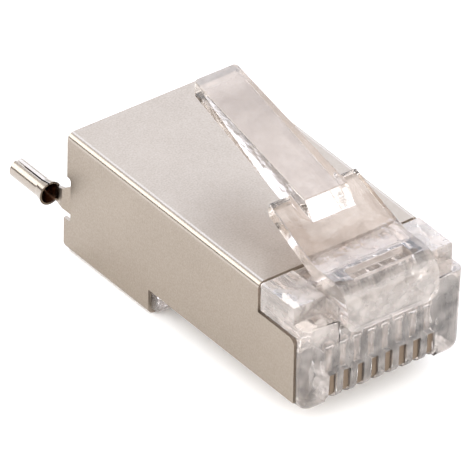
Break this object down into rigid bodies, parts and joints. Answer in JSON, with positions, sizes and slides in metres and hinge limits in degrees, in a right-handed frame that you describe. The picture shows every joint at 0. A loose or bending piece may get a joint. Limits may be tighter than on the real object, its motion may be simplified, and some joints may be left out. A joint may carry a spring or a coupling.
{
  "type": "shielded modular plug",
  "caption": "Uncrimped shielded modular cable plug with a clear body, folded metal shield, rolled drain-wire barrel and a sprung release latch.",
  "frame": {"origin": "foot of the nose face on the mid plane, level with the contact side, where the plug enters a jack", "axes": "+Y from the nose to the cable end, +Z to the latch side, +X across the plug away from the drain-wire barrel"},
  "size_m": [0.013, 0.028, 0.0142],
  "materials": {
    "clear_body": "clear moulded polycarbonate",
    "shield_metal": "nickel-plated sheet, satin",
    "contact_metal": "gold-plated copper alloy"
  },
  "bodies": {
    "plug": {"housing": "clear_body", "shield": "shield_metal", "contact_1": "contact_metal", "contact_2": "contact_metal", "contact_3": "contact_metal", "contact_4": "contact_metal", "contact_5": "contact_metal", "contact_6": "contact_metal", "contact_7": "contact_metal", "contact_8": "contact_metal"},
    "latch": {"latch": "clear_body"}
  },
  "joints": [
    {"name": "latch_flex", "type": "hinge", "parent": "plug", "child": "latch", "pos_m": [0, 0.0005, 0.00675], "axis": [-1, 0, 0], "range_deg": [0, 14], "stiffness_Nm_per_rad": 0.15}
  ]
}
